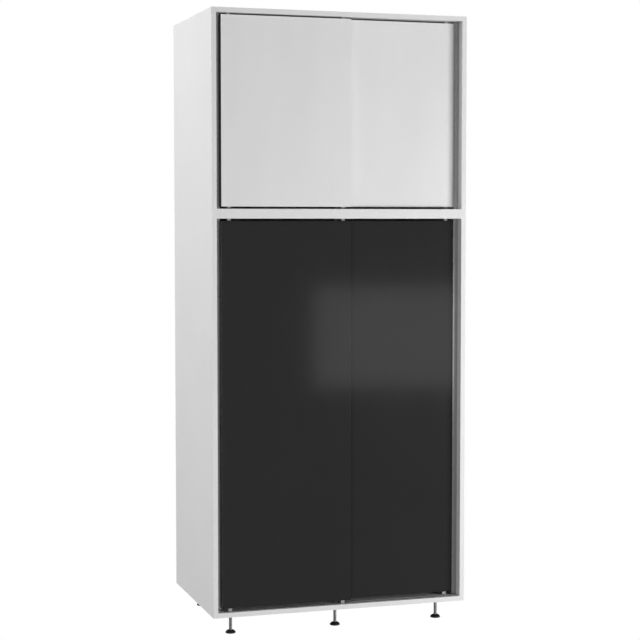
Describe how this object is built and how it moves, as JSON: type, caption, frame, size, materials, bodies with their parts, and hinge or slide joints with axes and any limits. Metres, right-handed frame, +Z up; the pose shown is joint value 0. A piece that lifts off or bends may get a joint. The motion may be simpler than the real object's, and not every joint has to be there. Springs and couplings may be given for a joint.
{
  "type": "sliding door wardrobe",
  "caption": "Tall free-standing wardrobe of stacked white carcasses, white sliding doors above and gloss black sliding doors below, on levelling feet with black pads.",
  "frame": {"origin": "on the floor under the middle of the cabinet", "axes": "+Z up, the doors face -Y, +X to the right for somebody facing the doors"},
  "size_m": [1, 0.636, 2.329],
  "materials": {
    "white_board": "white melamine-faced board, satin",
    "white_back": "white lacquered fibreboard",
    "grey_profile": "grey coated aluminium, satin",
    "track_aluminium": "anodised aluminium",
    "door_white": "white faced board, satin",
    "door_black": "gloss black faced board",
    "edge_black": "black edge strip",
    "fitting_plastic": "light grey nylon",
    "wheel_plastic": "dark grey acetal",
    "zinc_steel": "zinc plated",
    "chrome_tube": "polished",
    "foot_steel": "zinc plated, threaded",
    "foot_rubber": "matt black"
  },
  "bodies": {
    "carcass": {"lower_left_side": "white_board", "lower_right_side": "white_board", "lower_bottom_board": "white_board", "lower_top_board": "white_board", "lower_shelf": "white_board", "lower_back_panel": "white_back", "lower_side_profiles": "grey_profile", "lower_bottom_tracks": "track_aluminium", "lower_top_tracks": "track_aluminium", "upper_left_side": "white_board", "upper_right_side": "white_board", "upper_bottom_board": "white_board", "upper_top_board": "white_board", "upper_shelf": "white_board", "upper_back_panel": "white_back", "upper_side_profiles": "grey_profile", "upper_bottom_tracks": "track_aluminium", "upper_top_tracks": "track_aluminium", "shelf_pins": "zinc_steel", "hanging_rail": "chrome_tube", "rail_supports": "zinc_steel", "cam_fittings": "zinc_steel", "module_connectors": "zinc_steel", "foot_inserts": "zinc_steel"},
    "lower_left_door": {"lower_left_door": "door_black", "lower_left_door_edge": "edge_black", "lower_left_door_guides": "fitting_plastic", "lower_left_door_rollers": "fitting_plastic"},
    "lower_right_door": {"lower_right_door": "door_black", "lower_right_door_edge": "edge_black", "lower_right_door_guides": "fitting_plastic", "lower_right_door_rollers": "fitting_plastic"},
    "upper_left_door": {"upper_left_door": "door_white", "upper_left_door_edge": "edge_black", "upper_left_door_guides": "fitting_plastic", "upper_left_door_rollers": "fitting_plastic"},
    "upper_right_door": {"upper_right_door": "door_white", "upper_right_door_edge": "edge_black", "upper_right_door_guides": "fitting_plastic", "upper_right_door_rollers": "fitting_plastic"},
    "lower_left_door_wheel_left": {"lower_left_door_wheel_left": "wheel_plastic"},
    "lower_left_door_wheel_right": {"lower_left_door_wheel_right": "wheel_plastic"},
    "lower_right_door_wheel_left": {"lower_right_door_wheel_left": "wheel_plastic"},
    "lower_right_door_wheel_right": {"lower_right_door_wheel_right": "wheel_plastic"},
    "upper_left_door_wheel_left": {"upper_left_door_wheel_left": "wheel_plastic"},
    "upper_left_door_wheel_right": {"upper_left_door_wheel_right": "wheel_plastic"},
    "upper_right_door_wheel_left": {"upper_right_door_wheel_left": "wheel_plastic"},
    "upper_right_door_wheel_right": {"upper_right_door_wheel_right": "wheel_plastic"},
    "foot_front_left": {"foot_front_left_rod": "foot_steel", "foot_front_left_pad": "foot_rubber"},
    "foot_front_middle": {"foot_front_middle_rod": "foot_steel", "foot_front_middle_pad": "foot_rubber"},
    "foot_front_right": {"foot_front_right_rod": "foot_steel", "foot_front_right_pad": "foot_rubber"},
    "foot_rear_left": {"foot_rear_left_rod": "foot_steel", "foot_rear_left_pad": "foot_rubber"},
    "foot_rear_middle": {"foot_rear_middle_rod": "foot_steel", "foot_rear_middle_pad": "foot_rubber"},
    "foot_rear_right": {"foot_rear_right_rod": "foot_steel", "foot_rear_right_pad": "foot_rubber"}
  },
  "joints": [
    {"name": "lower_left_door_slide", "type": "slide", "parent": "carcass", "child": "lower_left_door", "axis": [1, 0, 0], "range_m": [0, 0.423]},
    {"name": "lower_right_door_slide", "type": "slide", "parent": "carcass", "child": "lower_right_door", "axis": [1, 0, 0], "range_m": [-0.423, 0]},
    {"name": "upper_left_door_slide", "type": "slide", "parent": "carcass", "child": "upper_left_door", "axis": [1, 0, 0], "range_m": [0, 0.423]},
    {"name": "upper_right_door_slide", "type": "slide", "parent": "carcass", "child": "upper_right_door", "axis": [1, 0, 0], "range_m": [-0.423, 0]},
    {"name": "lower_left_door_wheel_left_turn", "type": "hinge", "parent": "lower_left_door", "child": "lower_left_door_wheel_left", "pos_m": [-0.4313, -0.2947, 0.1015], "axis": [0, 1, 0], "continuous": true},
    {"name": "lower_left_door_wheel_right_turn", "type": "hinge", "parent": "lower_left_door", "child": "lower_left_door_wheel_right", "pos_m": [0.0107, -0.2947, 0.1015], "axis": [0, 1, 0], "continuous": true},
    {"name": "lower_right_door_wheel_left_turn", "type": "hinge", "parent": "lower_right_door", "child": "lower_right_door_wheel_left", "pos_m": [-0.0075, -0.2708, 0.1015], "axis": [0, 1, 0], "continuous": true},
    {"name": "lower_right_door_wheel_right_turn", "type": "hinge", "parent": "lower_right_door", "child": "lower_right_door_wheel_right", "pos_m": [0.4345, -0.2708, 0.1015], "axis": [0, 1, 0], "continuous": true},
    {"name": "upper_left_door_wheel_left_turn", "type": "hinge", "parent": "upper_left_door", "child": "upper_left_door_wheel_left", "pos_m": [-0.4313, -0.2947, 1.6015], "axis": [0, 1, 0], "continuous": true},
    {"name": "upper_left_door_wheel_right_turn", "type": "hinge", "parent": "upper_left_door", "child": "upper_left_door_wheel_right", "pos_m": [0.0107, -0.2947, 1.6015], "axis": [0, 1, 0], "continuous": true},
    {"name": "upper_right_door_wheel_left_turn", "type": "hinge", "parent": "upper_right_door", "child": "upper_right_door_wheel_left", "pos_m": [-0.0075, -0.2708, 1.6015], "axis": [0, 1, 0], "continuous": true},
    {"name": "upper_right_door_wheel_right_turn", "type": "hinge", "parent": "upper_right_door", "child": "upper_right_door_wheel_right", "pos_m": [0.4345, -0.2708, 1.6015], "axis": [0, 1, 0], "continuous": true},
    {"name": "foot_front_left_screw", "type": "slide", "parent": "carcass", "child": "foot_front_left", "axis": [0, 0, -1], "range_m": [0, 0.01]},
    {"name": "foot_front_middle_screw", "type": "slide", "parent": "carcass", "child": "foot_front_middle", "axis": [0, 0, -1], "range_m": [0, 0.01]},
    {"name": "foot_front_right_screw", "type": "slide", "parent": "carcass", "child": "foot_front_right", "axis": [0, 0, -1], "range_m": [0, 0.01]},
    {"name": "foot_rear_left_screw", "type": "slide", "parent": "carcass", "child": "foot_rear_left", "axis": [0, 0, -1], "range_m": [0, 0.01]},
    {"name": "foot_rear_middle_screw", "type": "slide", "parent": "carcass", "child": "foot_rear_middle", "axis": [0, 0, -1], "range_m": [0, 0.01]},
    {"name": "foot_rear_right_screw", "type": "slide", "parent": "carcass", "child": "foot_rear_right", "axis": [0, 0, -1], "range_m": [0, 0.01]}
  ],
  "couplings": [
    {"joint": "lower_left_door_wheel_left_turn", "follows": "lower_left_door_slide", "rad_per_m": 90.909},
    {"joint": "lower_left_door_wheel_right_turn", "follows": "lower_left_door_slide", "rad_per_m": 90.909},
    {"joint": "lower_right_door_wheel_left_turn", "follows": "lower_right_door_slide", "rad_per_m": 90.909},
    {"joint": "lower_right_door_wheel_right_turn", "follows": "lower_right_door_slide", "rad_per_m": 90.909},
    {"joint": "upper_left_door_wheel_left_turn", "follows": "upper_left_door_slide", "rad_per_m": 90.909},
    {"joint": "upper_left_door_wheel_right_turn", "follows": "upper_left_door_slide", "rad_per_m": 90.909},
    {"joint": "upper_right_door_wheel_left_turn", "follows": "upper_right_door_slide", "rad_per_m": 90.909},
    {"joint": "upper_right_door_wheel_right_turn", "follows": "upper_right_door_slide", "rad_per_m": 90.909}
  ]
}
